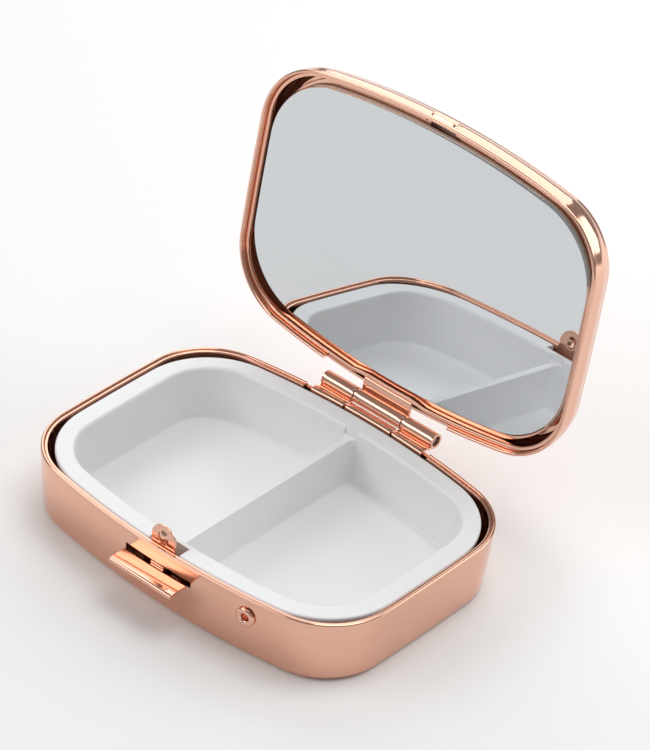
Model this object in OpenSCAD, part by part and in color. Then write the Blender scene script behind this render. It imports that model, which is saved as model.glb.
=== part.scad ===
// Pill box: a drawn metal base and lid on a pinned back hinge, a two-pocket
// plastic tray, a mirror in the lid, and a spring latch with a thumb-piece.
// X runs along the hinge, +Y points to the hinge, +Z is up. The origin is the
// centre of the underside of the base. The lid is drawn open, on its stop.

/* [Box] */
// Length over the rim
box_l = 70; // [60:1:90]
// Width over the rim, without the hinge and the thumb-piece
box_w = 51.2; // [46:0.2:66]
// Height of the base up to its rim
base_h = 12; // [12:0.5:20]
// Height of the lid from its rim to its flat top
lid_h = 5.8; // [5.6:0.1:12]
// Corner radius of the outline
corner_r = 12.6; // [9:0.2:18]
// Radius of the slight bow in the two long sides
side_bow_r = 140; // [110:5:400]
// Radius of the slighter bow in the two ends
end_bow_r = 560; // [300:10:1200]
// How far the walls lean in from the rim to the far edge
wall_lean = 0.7; // [0:0.1:1.2]
// Radius of the edge between a wall and the flat of the base or lid
edge_r = 1.3; // [0.8:0.1:2.2]

/* [Sheet metal] */
// Thickness of the drawn shells
shell_t = 0.42; // [0.3:0.02:0.6]
// Height of the rolled bead around each rim
bead_h = 0.9; // [0.7:0.05:1.4]
// Width of the rolled bead
bead_w = 0.6; // [0.5:0.02:0.8]
// How far the bead stands out from the wall
bead_proud = 0.2; // [0.1:0.02:0.3]
// Width of the inner band in the base
base_band_w = 0.5; // [0.4:0.02:0.7]
// Height of the inner band in the base
base_band_h = 1.45; // [1:0.05:1.6]

/* [Hinge] */
// Angle to which the lid opens before it stops
open_angle = 97.4; // [80:0.2:115]
// Overall length of the three knuckles
hinge_l = 24; // [18:0.5:34]
// Length of the middle knuckle, which belongs to the lid
mid_knuckle_l = 10.2; // [7:0.2:14]
// Gap at each end of the middle knuckle
knuckle_gap = 0.15; // [0.05:0.01:0.3]
// Outer radius of the knuckles
knuckle_r = 1.35; // [1.2:0.05:1.6]
// Radius of the hinge pin
pin_r = 0.8; // [0.6:0.02:0.9]
// Radial clearance of the pin in the knuckles
pin_clearance = 0.04; // [0.01:0.01:0.1]
// Thickness of the hinge leaves
leaf_t = 0.42; // [0.3:0.02:0.5]
// Distance of the hinge axis behind the rim
hinge_back = 2.3; // [2:0.05:3]
// How far the base's leaf runs past the knuckles at each end
leaf_extra = 0.4; // [0:0.1:0.8]
// Room left in the rims on each side of the leaves
leaf_room = 1; // [0.4:0.1:2]

/* [Tray] */
// Height of the tray's flange below the rim
tray_drop = 0.4; // [0.2:0.1:1.6]
// Gap between the tray's flange and the inside of the base at the sides
tray_gap = 0.3; // [0.3:0.05:0.9]
// Extra radius at the corners of the tray's flange
tray_corner_extra = 3; // [0:0.2:6]
// Width of the flange between the rim and a pocket, along the long sides
flange_w = 4.8; // [4:0.1:6]
// The same, at the two ends
flange_end_w = 5; // [3:0.1:6]
// Thickness of the pocket floors
tray_floor = 1.5; // [0.8:0.1:2.5]
// Width of the divider at its top
divider_w = 1.1; // [0.8:0.1:2]
// How far the divider's top lies below the flange
divider_drop = 1.4; // [0.4:0.1:2]

/* [Mirror] */
// Thickness of the mirror glass
glass_t = 1.2; // [0.8:0.1:2]
// Depth of the glass below the lid's rim
mirror_depth = 1.25; // [1:0.05:1.8]
// Margin between the rim and the glass, along the long sides
mirror_margin = 2.6; // [2.5:0.1:4]
// The same, at the two ends
mirror_end_margin = 1.6; // [1.5:0.05:4]
// Corner radius of the glass
mirror_corner_r = 13.4; // [9:0.2:16]
// Thickness of the metal sheet that the glass lies on
seat_t = 0.4; // [0.3:0.05:0.6]
// How far that sheet runs out past the glass, along the long sides
seat_out = 1.6; // [0.6:0.1:1.6]
// The same, at the two ends
seat_end_out = 0.3; // [0:0.1:0.5]
// Extra radius at the corners of that sheet
seat_corner_extra = 3; // [0:0.2:4]
// Width of the inner band in the lid
lid_band_w = 0.7; // [0.4:0.05:0.8]
// Height of the inner band in the lid
lid_band_h = 1.4; // [0.8:0.05:1.4]

/* [Latch] */
// Width of the tongue that rises into the lid
tongue_w = 5; // [4:0.2:7]
// How far the tongue rises above the rim of the base
tongue_rise = 3.7; // [2.4:0.1:4]
// How far the thumb-piece and the tongue can be pressed in
press_travel = 0.7; // [0.3:0.05:0.8]
// Room left in the tray behind the pressed-in spring
notch_room = 1.2; // [0.8:0.1:1.3]
// Thickness of the latch's sheet and spring
latch_t = 0.34; // [0.26:0.02:0.4]
// Distance from the rim to the front of the tongue
tongue_in = 1.3; // [1.25:0.05:1.4]
// Width of the thumb-piece
thumb_w = 13.2; // [10:0.2:18]
// How far the thumb-piece stands out from the rim
thumb_out = 3.9; // [3:0.1:6]
// Height of the thumb-piece above the underside of the base
thumb_z = 8; // [7.8:0.1:8.4]
// Distance of the rivet from the middle of the front
rivet_x = 17.8; // [16:0.2:20]
// Radius of the rivet's head
rivet_head_r = 1.7; // [1.4:0.05:2]
// Radius of the hole through the hollow rivet
rivet_hole_r = 0.65; // [0.4:0.05:0.8]

/* [Hidden] */

copper = "#dca085";
steel = "#8a8a8c";
white_plastic = "#f2f1f3";

// Steps in a quarter of the outline: along the end, the corner and the side
end_steps = 3;
corner_steps = 10;
side_steps = 7;
// Steps in the small rounding of an edge
round_steps = 5;
far = 200;
eps = 0.02;

half_l = box_l / 2;
half_w = box_w / 2;
wall_in = bead_proud + shell_t;
straight_h = bead_h + base_band_h;
lid_gap = 0.1;
lid_z = base_h + lid_gap;
hinge_y = half_w + hinge_back;
hinge_z = base_h + 0.2;
bore_r = pin_r + pin_clearance;

// One quarter of the outline lies between the end arc, the corner and the side arc.
// The corner's centre is where circles about the two bow centres cross.
function corner_centre(hl, hw, rs, re, rc) =
    let (c1 = [0, hw - rs], c2 = [hl - re, 0])
    let (r1 = rs - rc, r2 = re - rc)
    let (d = norm(c2 - c1), u = (c2 - c1) / d)
    let (a = (r1 * r1 - r2 * r2 + d * d) / (2 * d))
    let (h = sqrt(r1 * r1 - a * a))
    c1 + a * u + h * [u[1], -u[0]];

function arc_points(c, r, a0, a1, n) =
    [for (i = [0 : n - 1]) c + r * [cos(a0 + (a1 - a0) * i / n), sin(a0 + (a1 - a0) * i / n)]];

function quarter(hl, hw, rs, re, rc) =
    let (c = corner_centre(hl, hw, rs, re, rc))
    let (ae = atan2(c[1], c[0] - (hl - re)))
    let (as = atan2(c[1] - (hw - rs), c[0]))
    concat(arc_points([hl - re, 0], re, 0, ae, end_steps),
           arc_points(c, rc, ae, as, corner_steps),
           arc_points([0, hw - rs], rs, as, 90, side_steps));

function turned(points, sx, sy) = [for (p = points) [p[0] * sx, p[1] * sy]];
function reversed(points) = [for (i = [len(points) - 1 : -1 : 0]) points[i]];
function tail(points) = [for (i = [1 : len(points) - 1]) points[i]];

function loop_of(hl, hw, rs, re, rc) =
    let (q = quarter(hl, hw, rs, re, rc), top = [[0, hw]], side = [[-hl, 0]])
    concat(q, top, reversed(tail(turned(q, -1, 1))), side,
           tail(turned(q, -1, -1)), [[0, -hw]], reversed(tail(turned(q, 1, -1))));

// The box's outline, moved in by the same amount all round
function outline(inset) =
    loop_of(half_l - inset, half_w - inset, side_bow_r - inset, end_bow_r - inset,
            corner_r - inset);

// The same outline with its own margins at the ends and sides, and its own corners
function inner_outline(end_in, side_in, rc) =
    loop_of(half_l - end_in, half_w - side_in, side_bow_r - side_in, end_bow_r - end_in, rc);

function at_height(points, z) = [for (p = points) [p[0], p[1], z]];

// A closed solid through a list of rings that all have the same number of points
module loft(rings) {
    n = len(rings[0]);
    m = len(rings);
    points = [for (r = rings, p = r) p];
    sides = [for (k = [0 : m - 2], i = [0 : n - 1])
        [k * n + i, (k + 1) * n + i, (k + 1) * n + (i + 1) % n, k * n + (i + 1) % n]];
    first = [for (i = [0 : n - 1]) i];
    last = [for (i = [n - 1 : -1 : 0]) (m - 1) * n + i];
    polyhedron(points, concat([first], sides, [last]));
}

// A solid whose section is a list of [inset, height] pairs, swept round the outline
module outline_sweep(section) {
    loft([for (s = section) at_height(outline(s[0]), s[1])]);
}

// Section of a drawn cup, from the outside of its flat, over the rolled rim, to the inside
function bead_section(h) =
    [[bead_proud, h - bead_h], [0.06, h - bead_h], [0, h - bead_h + 0.08], [0, h - 0.25],
     [0.08, h - 0.08], [0.24, h], [bead_w - 0.24, h], [bead_w - 0.06, h - 0.1],
     [bead_w, h - 0.25], [wall_in, h - bead_h]];

function edge_section(inset, r, z) =
    [for (i = [0 : round_steps])
        [inset + r * (1 - sin(90 * i / round_steps)), z + r * (1 - cos(90 * i / round_steps))]];

function cup_section(h) =
    concat(edge_section(bead_proud + wall_lean, edge_r, 0),
           [[bead_proud, h - straight_h]],
           bead_section(h),
           [[wall_in, h - straight_h]],
           reversed(edge_section(wall_in + wall_lean, edge_r - shell_t, shell_t)));

// Moves what is drawn for the closed lid to its open place
module opened() {
    translate([0, hinge_y, hinge_z])
        rotate([-open_angle, 0, 0])
            translate([0, -hinge_y, -hinge_z])
                children();
}

// Turns a cup drawn rim up into the lid, rim down, with its rim at lid_z
function lid_section() =
    reversed([for (s = cup_section(lid_h)) [s[0], lid_z + lid_h - s[1]]]);

// Y of the front wall's outside at a distance x from the middle
function front_y(x, inset) =
    -(half_w - side_bow_r + sqrt(pow(side_bow_r - inset, 2) - x * x));

/* Base */

leaf_l = hinge_l + 2 * leaf_extra;
leaf_cut_l = leaf_l + 2 * leaf_room;
leaf_top_z = base_h - 0.12;
leaf_under_z = leaf_top_z - leaf_t;
window_clear = 0.35;
window_z0 = thumb_z - 0.15;
window_z1 = thumb_z + 1;
rivet_z = thumb_z + 0.25;
rivet_turn = asin(rivet_x / side_bow_r);
rivet_shank_r = 1.1;
rivet_fit = 0.03;
lean_h = base_h - straight_h - edge_r;
lean_angle = atan(wall_lean / lean_h);

// How far the outside of the base's wall lies inside the rim at height z
function wall_inset(z) = bead_proud + wall_lean * max(0, base_h - straight_h - z) / lean_h;

// Places its children on the rivet's axis, with +Z along the axis out of the front wall
module on_rivet_axis() {
    translate([rivet_x, front_y(rivet_x, wall_inset(rivet_z)), rivet_z])
        rotate([90 + lean_angle, 0, rivet_turn])
            children();
}

module leaf_cut(z) {
    translate([-leaf_cut_l / 2, half_w - 5, z])
        cube([leaf_cut_l, 10, far]);
}

module base_shell() {
    color(copper)
        difference() {
            outline_sweep(cup_section(base_h));
            leaf_cut(leaf_under_z - 0.05);
            translate([-thumb_w / 2 - window_clear, -half_w - 2, window_z0])
                cube([thumb_w + 2 * window_clear, 4, window_z1 - window_z0]);
            on_rivet_axis()
                translate([0, 0, -3])
                    cylinder(r = rivet_shank_r + rivet_fit, h = 6, $fn = 48);
        }
}

base_band_top = base_h - 0.25;
base_band_z = base_band_top - base_band_h;
tongue_room = 0.6;

module base_inner_band() {
    color(copper)
        difference() {
            translate([0, 0, base_band_z])
                linear_extrude(base_band_h)
                    difference() {
                        polygon(outline(wall_in + eps));
                        polygon(outline(wall_in + eps + base_band_w));
                    }
            leaf_cut(0);
        }
}

/* Tray */

tray_top = base_h - tray_drop;
tray_under = shell_t + 0.08;
flange_t = 1;
tray_in = wall_in + base_band_w + tray_gap;
tray_corner_r = corner_r - tray_in + tray_corner_extra;
tray_step = 1.5;
pocket_r = corner_r - flange_end_w + 2;
pocket_z = tray_under + tray_floor;
pocket_lean = 1;
notch_w = tongue_w + 1.6;
notch_back = tongue_in + 2 * latch_t + press_travel + notch_room;

function tray_ring(t, z) = at_height(inner_outline(tray_in + t, tray_in + t, tray_corner_r - t), z);

// A pocket ring grows with t, so a negative t lies inside the pocket's mouth
function pocket_ring(t, z) =
    at_height(inner_outline(flange_end_w - t, flange_w - t, pocket_r + t), z);

module tray_blank() {
    loft([tray_ring(tray_step + 1.6, tray_under),
          tray_ring(tray_step + 1, tray_under + 0.3),
          tray_ring(tray_step + 0.8, tray_under + 1),
          tray_ring(tray_step, tray_top - flange_t),
          tray_ring(0.15, tray_top - flange_t),
          tray_ring(0, tray_top - flange_t + 0.3),
          tray_ring(0, tray_top - 0.3),
          tray_ring(0.1, tray_top - 0.1),
          tray_ring(0.35, tray_top)]);
}

module pocket_pair() {
    loft([pocket_ring(-pocket_lean - 0.9, pocket_z),
          pocket_ring(-pocket_lean - 0.45, pocket_z + 0.15),
          pocket_ring(-pocket_lean - 0.15, pocket_z + 0.5),
          pocket_ring(-pocket_lean, pocket_z + 1),
          pocket_ring(-0.25, tray_top - 0.9),
          pocket_ring(-0.1, tray_top - 0.5),
          pocket_ring(0.12, tray_top - 0.15),
          pocket_ring(0.45, tray_top),
          pocket_ring(0.45, tray_top + 1)]);
}

// Everything to one side of the divider, which is thicker at its foot
module beside_divider(side) {
    foot = divider_w / 2 + 0.3;
    top = divider_w / 2;
    rotate([90, 0, 0])
        linear_extrude(far, center = true)
            polygon([[side * foot, 0], [side * top, tray_top], [side * top, far],
                     [side * far, far], [side * far, 0]]);
}

module pill_tray() {
    color(white_plastic)
        difference() {
            tray_blank();
            for (side = [-1, 1])
                intersection() {
                    pocket_pair();
                    beside_divider(side);
                }
            intersection() {
                pocket_pair();
                translate([-divider_w, -far, tray_top - divider_drop])
                    cube([2 * divider_w, 2 * far, far]);
            }
            translate([-notch_w / 2, -half_w - 1, thumb_z - 2.4])
                cube([notch_w, notch_back + 1, far]);
        }
}

/* Hinge */

mid_l = mid_knuckle_l;
outer_l = (hinge_l - mid_l) / 2 - knuckle_gap;
leaf_in = wall_in + eps;
plate_z = base_h - straight_h + 0.05;
tab_gap = 0.2;
bend_y = half_w + 0.05;
lip_l = 0.65;
clear_r = knuckle_r + 0.2;

// The tabs run down from the rim to touch the knuckles from below
to_axis = [hinge_y - bend_y, hinge_z - leaf_under_z];
axis_d = norm(to_axis);
tab_angle = atan2(to_axis[1], to_axis[0]) - asin(knuckle_r / axis_d);
tab_l = sqrt(axis_d * axis_d - knuckle_r * knuckle_r);

// Section of the leaf outside the wall, where its sloping part has length l
module leaf_section(l) {
    down = [cos(tab_angle), sin(tab_angle)];
    up = [-sin(tab_angle), cos(tab_angle)];
    start = [bend_y, leaf_under_z];
    polygon([[half_w - 2, leaf_under_z], start, start + l * down, start + l * down + leaf_t * up,
             start + leaf_t * [-tan(tab_angle / 2), 1], [half_w - 2, leaf_top_z]]);
}

// A bar with the leaf's section, from x0 for a length w
module leaf_bar(x0, w, l) {
    translate([x0, 0, 0])
        rotate([90, 0, 90])
            linear_extrude(w)
                leaf_section(l);
}

// A straight tube along X, from x0 for a length l, round the hinge axis
module knuckle(x0, l) {
    translate([x0, hinge_y, hinge_z])
        rotate([0, 90, 0])
            cylinder(r = knuckle_r, h = l, $fn = 64);
}

module pin_bore() {
    translate([-far / 2, hinge_y, hinge_z])
        rotate([0, 90, 0])
            cylinder(r = bore_r, h = far, $fn = 64);
}

// A plate that follows the bow of the back wall's inside, of length l
module wall_plate(l, z0, z1, inset) {
    translate([0, 0, z0])
        linear_extrude(z1 - z0)
            intersection() {
                difference() {
                    polygon(outline(inset));
                    polygon(outline(inset + leaf_t));
                }
                translate([-l / 2, 0])
                    square([l, half_w]);
            }
}

module base_hinge_leaf() {
    color(copper)
        difference() {
            union() {
                difference() {
                    union() {
                        leaf_bar(-leaf_l / 2, leaf_l / 2 - mid_l / 2 - knuckle_gap, tab_l);
                        leaf_bar(mid_l / 2 + knuckle_gap, leaf_l / 2 - mid_l / 2 - knuckle_gap, tab_l);
                        leaf_bar(-mid_l / 2 + tab_gap, mid_l - 2 * tab_gap, lip_l);
                    }
                    linear_extrude(far)
                        polygon(outline(leaf_in + leaf_t / 2));
                }
                wall_plate(leaf_l, plate_z, leaf_top_z, leaf_in);
                knuckle(-hinge_l / 2, outer_l);
                knuckle(hinge_l / 2 - outer_l, outer_l);
            }
            pin_bore();
            for (x = [-far, hinge_l / 2])
                translate([x, hinge_y - clear_r, 0])
                    cube([far - (x < 0 ? hinge_l / 2 : 0), far, far]);
        }
}

lid_strip_z = hinge_z + knuckle_r - 0.05 - leaf_t;
lid_plate_z = lid_z + straight_h - 0.05;

module lid_hinge_leaf() {
    color(copper)
        opened()
            difference() {
                union() {
                    knuckle(-mid_l / 2, mid_l);
                    difference() {
                        translate([-mid_l / 2, half_w - 2, lid_strip_z])
                            cube([mid_l, hinge_y - half_w + 2, leaf_t]);
                        linear_extrude(far)
                            polygon(outline(leaf_in + leaf_t / 2));
                    }
                    wall_plate(mid_l, lid_strip_z, lid_plate_z, leaf_in);
                }
                pin_bore();
            }
}

pin_short = 0.35;

module hinge_pin() {
    color(steel)
        translate([-hinge_l / 2 + pin_short, hinge_y, hinge_z])
            rotate([0, 90, 0])
                cylinder(r = pin_r, h = hinge_l - 2 * pin_short, $fn = 64);
}

/* Lid */

catch_l = 5.8;
catch_h = 1.8;
catch_z = lid_z + 2;
catch_proud = 0.35;
catch_deep = 0.3;

// A bar with round ends lying along X, its round faces toward the front
module slot_bar(l, h, y0, y1) {
    for (x = [-(l - h) / 2, (l - h) / 2])
        translate([x, y1, catch_z])
            rotate([90, 0, 0])
                cylinder(r = h / 2, h = y1 - y0, $fn = 40);
    translate([-(l - h) / 2, y0, catch_z - h / 2])
        cube([l - h, y1 - y0, h]);
}

module lid_shell() {
    wall_out_y = -half_w + bead_proud;
    wall_in_y = -half_w + wall_in;
    color(copper)
        opened()
            difference() {
                union() {
                    outline_sweep(lid_section());
                    slot_bar(catch_l, catch_h, wall_out_y - catch_proud, wall_in_y - 0.1);
                }
                slot_bar(catch_l - 0.7, catch_h - 0.7, wall_in_y - catch_deep, wall_in_y + 1);
                translate([-leaf_cut_l / 2, half_w - 5, lid_z - 1])
                    cube([leaf_cut_l, 10, bead_h + 1]);
                translate([-mid_l / 2 - 0.2, half_w - 5, lid_z - 1])
                    cube([mid_l + 0.4, 10, lid_strip_z + leaf_t + 0.05 - lid_z + 1]);
            }
}

jog_l = mid_l + 2.4;
jog = leaf_t + 2 * eps;

// The band's plan, which steps inwards to pass over the lid's leaf
module lid_band_plan(l, step) {
    intersection() {
        difference() {
            polygon(outline(leaf_in + step));
            polygon(outline(leaf_in + step + lid_band_w));
        }
        translate([-l / 2, 0])
            square([l, half_w]);
    }
}

module lid_inner_band() {
    color(copper)
        opened()
            difference() {
                translate([0, 0, lid_z + bead_h])
                    linear_extrude(lid_band_h)
                        difference() {
                            union() {
                                difference() {
                                    polygon(outline(leaf_in));
                                    polygon(outline(leaf_in + lid_band_w));
                                }
                                lid_band_plan(jog_l, jog);
                            }
                            lid_band_plan(mid_l + 0.3, jog - lid_band_w);
                        }
                translate([-tongue_w / 2 - tongue_room, -half_w - 1, 0])
                    cube([tongue_w + 2 * tongue_room, 4, far]);
            }
}

glass_z = lid_z + mirror_depth;

module mirror_glass() {
    color("#c9ced0")
        opened()
            translate([0, 0, glass_z])
                linear_extrude(glass_t)
                    polygon(inner_outline(mirror_end_margin, mirror_margin, mirror_corner_r));
}

seat_z = glass_z + glass_t;

// The seat fills the margin round the glass but for the corners, and is notched for the tongue
module mirror_seat() {
    color(copper)
        opened()
            difference() {
                translate([0, 0, seat_z])
                    linear_extrude(seat_t)
                        polygon(inner_outline(mirror_end_margin - seat_end_out,
                                              mirror_margin - seat_out,
                                              mirror_corner_r + seat_corner_extra));
                translate([-tongue_w / 2 - tongue_room, -half_w - 1, 0])
                    cube([tongue_w + 2 * tongue_room, mirror_margin + 1.1, far]);
            }
}

backing_in = 0.7;

module mirror_backing() {
    color("#d9d5d0")
        opened()
            translate([0, 0, seat_z + seat_t])
                linear_extrude(lid_h - shell_t - mirror_depth - glass_t - seat_t)
                    polygon(inner_outline(mirror_end_margin + backing_in,
                                          mirror_margin + backing_in,
                                          mirror_corner_r - backing_in));
}

/* Latch */

tongue_y = -half_w + tongue_in;
tongue_top = base_h + tongue_rise;
strip_z0 = thumb_z - 1.4;
strip_z1 = thumb_z + 1.8;
strip_left = -tongue_w / 2 - 1.7;
strip_front = tongue_y + latch_t + 0.01;
bend_x = rivet_x - 3.4;
strip_right = rivet_x + 3.2;

// Inside face of the front wall at the foot of the spring
function inner_wall_y(x) = front_y(x, wall_inset(strip_z0) + shell_t);

module latch_spring() {
    y_bend = inner_wall_y(bend_x) + 0.06;
    y_right = inner_wall_y(strip_right) + 0.06;
    color(copper)
        difference() {
            translate([0, 0, strip_z0])
                linear_extrude(strip_z1 - strip_z0)
                    polygon([[strip_left, strip_front], [bend_x, y_bend], [strip_right, y_right],
                             [strip_right, y_right + latch_t], [bend_x, y_bend + latch_t],
                             [strip_left, strip_front + latch_t]]);
            on_rivet_axis()
                translate([0, 0, -4])
                    cylinder(r = rivet_shank_r + rivet_fit, h = 6, $fn = 48);
        }
}

dome_r = 1.5;
dome_proud = 0.4;
dome_z = base_h + 1.7;

module latch_tongue() {
    color(copper)
        union() {
            translate([0, tongue_y + latch_t, 0])
                rotate([90, 0, 0])
                    linear_extrude(latch_t)
                        union() {
                            translate([-tongue_w / 2, strip_z0])
                                square([tongue_w, tongue_top - tongue_w / 2 - strip_z0]);
                            translate([0, tongue_top - tongue_w / 2])
                                circle(r = tongue_w / 2, $fn = 64);
                        }
            intersection() {
                translate([0, tongue_y + dome_r - dome_proud, dome_z])
                    sphere(r = dome_r, $fn = 64);
                translate([-dome_r, tongue_y - dome_r, dome_z - dome_r])
                    cube([2 * dome_r, dome_r + latch_t / 2, 2 * dome_r]);
            }
        }
}

thumb_t = 0.4;
lip_h = 0.75;
neck_w = 2.8;
neck_h = 0.4;
thumb_front = -half_w - thumb_out;

module thumb_piece() {
    color(copper)
        difference() {
            union() {
                translate([-thumb_w / 2, thumb_front, thumb_z])
                    cube([thumb_w, tongue_y - eps - thumb_front, thumb_t]);
                translate([-thumb_w / 2, thumb_front, thumb_z + thumb_t - lip_h])
                    cube([thumb_w, thumb_t, lip_h]);
                translate([-neck_w / 2, -half_w - 0.7, thumb_z])
                    cube([neck_w, half_w + 0.7 + tongue_y - eps, thumb_t + neck_h]);
            }
        }
}

rivet_head_h = 0.55;
rivet_inner_h = 0.3;
rivet_inner_r = 1.55;
rivet_grip = shell_t + latch_t + 0.42;

// Section of the hollow rivet, from its inner flange to its rounded outer head
module latch_rivet() {
    color(copper)
        on_rivet_axis()
            rotate_extrude($fn = 64)
                polygon([[rivet_hole_r, -rivet_grip - rivet_inner_h],
                         [rivet_inner_r, -rivet_grip - rivet_inner_h],
                         [rivet_inner_r, -rivet_grip], [rivet_shank_r, -rivet_grip],
                         [rivet_shank_r, 0.04], [rivet_head_r, 0.04],
                         [rivet_head_r, 0.25], [rivet_head_r - 0.3, rivet_head_h - 0.08],
                         [rivet_head_r - 0.6, rivet_head_h], [rivet_hole_r + 0.15, rivet_head_h - 0.1],
                         [rivet_hole_r, rivet_head_h - 0.3]]);
}

base_shell();
base_inner_band();
pill_tray();
base_hinge_leaf();
hinge_pin();
lid_shell();
lid_inner_band();
mirror_glass();
mirror_seat();
mirror_backing();
lid_hinge_leaf();
latch_spring();
latch_tongue();
thumb_piece();
latch_rivet();
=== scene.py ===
# A small polished rose-gold pill box, standing open on its hinge stop.
# The sections follow the box as it is put together: base, tray, hinge, lid, mirror, latch.
import math

import bmesh
import bpy
from mathutils import Matrix, Vector


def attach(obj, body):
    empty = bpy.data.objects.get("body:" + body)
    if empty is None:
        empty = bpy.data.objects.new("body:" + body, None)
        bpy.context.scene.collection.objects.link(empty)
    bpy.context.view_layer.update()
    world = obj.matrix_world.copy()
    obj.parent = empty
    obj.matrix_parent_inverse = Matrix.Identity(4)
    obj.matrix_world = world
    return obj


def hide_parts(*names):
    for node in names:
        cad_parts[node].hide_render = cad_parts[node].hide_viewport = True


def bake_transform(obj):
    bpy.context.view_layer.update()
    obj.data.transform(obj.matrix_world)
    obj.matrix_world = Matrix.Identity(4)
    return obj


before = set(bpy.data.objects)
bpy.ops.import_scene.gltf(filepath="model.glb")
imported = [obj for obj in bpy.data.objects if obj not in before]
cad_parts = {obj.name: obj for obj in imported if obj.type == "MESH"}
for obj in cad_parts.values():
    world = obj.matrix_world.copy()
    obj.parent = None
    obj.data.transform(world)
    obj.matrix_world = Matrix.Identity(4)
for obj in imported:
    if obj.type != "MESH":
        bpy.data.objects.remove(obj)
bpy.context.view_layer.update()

# ---------------------------------------------------------------------------
# Base shell: one cup drawn from thin brass sheet, its rim rolled outwards into
# a bead, trimmed at the back for the hinge, pierced in front for the latch and
# its rivet, then polished and plated.
# ---------------------------------------------------------------------------
MM = 0.001
HALF_L, HALF_W = 35.0, 25.6
SIDE_BOW_R, END_BOW_R, CORNER_R = 140.0, 560.0, 12.6
BASE_H, SHELL_T, PROUD, BEAD_H = 12.0, 0.42, 0.2, 0.9
STRAIGHT_H, EDGE_R, LEAN, LEAN_CURVE = 2.35, 1.3, 0.7, 1.5
WALL_IN = PROUD + SHELL_T
GAP_L, GAP_Z = 26.8, 11.41
SLOT_HALF_L, SLOT_Z0, SLOT_Z1 = 6.95, 7.85, 9.0
RIVET_X, RIVET_Z, SHANK_R = 17.8, 8.25, 1.13
RIVET_TURN = math.asin(RIVET_X / SIDE_BOW_R)
RIVET_LEAN = math.radians(3)
CUT_REACH, SHARP_ANGLE = 5.0, 32


def spaced(start, end, steps):
    """Values from start up to, but not including, end."""
    return [start + (end - start) * i / steps for i in range(steps)]


def corner_centre(half_l, half_w, side_r, end_r, corner_r):
    """Centre of the corner's arc, where it runs on from the end's bow and the side's bow."""
    side_centre, end_centre = Vector((0, half_w - side_r)), Vector((half_l - end_r, 0))
    r1, r2 = side_r - corner_r, end_r - corner_r
    apart = end_centre - side_centre
    d = apart.length
    u = apart / d
    along = (r1 * r1 - r2 * r2 + d * d) / (2 * d)
    across = math.sqrt(r1 * r1 - along * along)
    return side_centre + along * u + across * Vector((u.y, -u.x))


def outline(side_in, end_in=None, corner_r=None):
    """The box's outline in mm, moved in at the sides and ends, with finer steps by the latch."""
    end_in = side_in if end_in is None else end_in
    corner_r = CORNER_R - side_in if corner_r is None else corner_r
    half_l, half_w = HALF_L - end_in, HALF_W - side_in
    side_r, end_r = SIDE_BOW_R - side_in, END_BOW_R - end_in
    c = corner_centre(half_l, half_w, side_r, end_r, corner_r)
    end_angle = math.atan2(c.y, c.x - (half_l - end_r))
    side_angle = math.atan2(c.y - (half_w - side_r), c.x)
    near_latch = math.radians(90) - 4.4 / side_r
    quarter = [
        (half_l - end_r + end_r * math.cos(a), end_r * math.sin(a))
        for a in spaced(0, end_angle, 8)
    ]
    quarter += [
        (c.x + corner_r * math.cos(a), c.y + corner_r * math.sin(a))
        for a in spaced(end_angle, side_angle, 24)
    ]
    for a in spaced(side_angle, near_latch, 12) + spaced(near_latch, math.radians(90), 20):
        quarter.append((side_r * math.cos(a), half_w - side_r + side_r * math.sin(a)))
    right = quarter + [(0, half_w)]
    half = right + [(-x, y) for x, y in reversed(quarter[1:])] + [(-half_l, 0)]
    return half + [(-x, -y) for x, y in half[1:-1]]


def extruded(bm, edges):
    """Extrudes edges on the spot, and gives the new vertices and the new edges between them."""
    made = bmesh.ops.extrude_edge_only(bm, edges=edges)["geom"]
    verts = [g for g in made if isinstance(g, bmesh.types.BMVert)]
    fresh = set(verts)
    return verts, [
        g for g in made if isinstance(g, bmesh.types.BMEdge) and fresh.issuperset(g.verts)
    ]


def swept(bm, rings, close=False):
    """Extrudes one loop through a list of (outline, height) rings, and caps or joins its ends."""
    station = bm.verts.layers.int.new("station")
    count = len(rings[0][0])
    bmesh.ops.create_circle(bm, segments=count, radius=1)
    for v in bm.verts:
        v[station] = round(math.atan2(v.co.y, v.co.x) / math.tau * count) % count
    verts, edges = list(bm.verts), list(bm.edges)
    first_edges = edges
    for index, (points, z) in enumerate(rings):
        if index:
            verts, edges = extruded(bm, edges)
        for v in verts:
            v.co = (*points[v[station]], z)
    if close:
        bmesh.ops.remove_doubles(bm, verts=bm.verts, dist=1e-5)
    else:
        bmesh.ops.contextual_create(bm, geom=first_edges)
        bmesh.ops.contextual_create(bm, geom=edges)
    bmesh.ops.recalc_face_normals(bm, faces=bm.faces)


def piece(name, bm, place=None, sharp=SHARP_ANGLE):
    """Turns a mesh drawn in mm into an object in metres, smooth but for its sharp edges."""
    mesh = bpy.data.meshes.new(name)
    bm.to_mesh(mesh)
    bm.free()
    mesh.transform(Matrix.Scale(MM, 4) @ (place or Matrix.Identity(4)))
    mesh.shade_smooth()
    mesh.set_sharp_from_angle(angle=math.radians(sharp))
    made = bpy.data.objects.new(name, mesh)
    bpy.context.scene.collection.objects.link(made)
    return made


def block(low, high):
    """A box-shaped cutter between two corners, in mm."""
    bm = bmesh.new()
    bmesh.ops.create_cube(bm, size=1)
    size = Vector(high) - Vector(low)
    bmesh.ops.scale(bm, vec=size, verts=bm.verts)
    bmesh.ops.translate(bm, vec=Vector(low) + size / 2, verts=bm.verts)
    return bm


def drill(radius, depth, place):
    """A round cutter along its own Z, put in place, in mm."""
    bm = bmesh.new()
    bmesh.ops.create_cone(
        bm, cap_ends=True, segments=48, radius1=radius, radius2=radius, depth=depth, matrix=place
    )
    return bm


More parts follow.
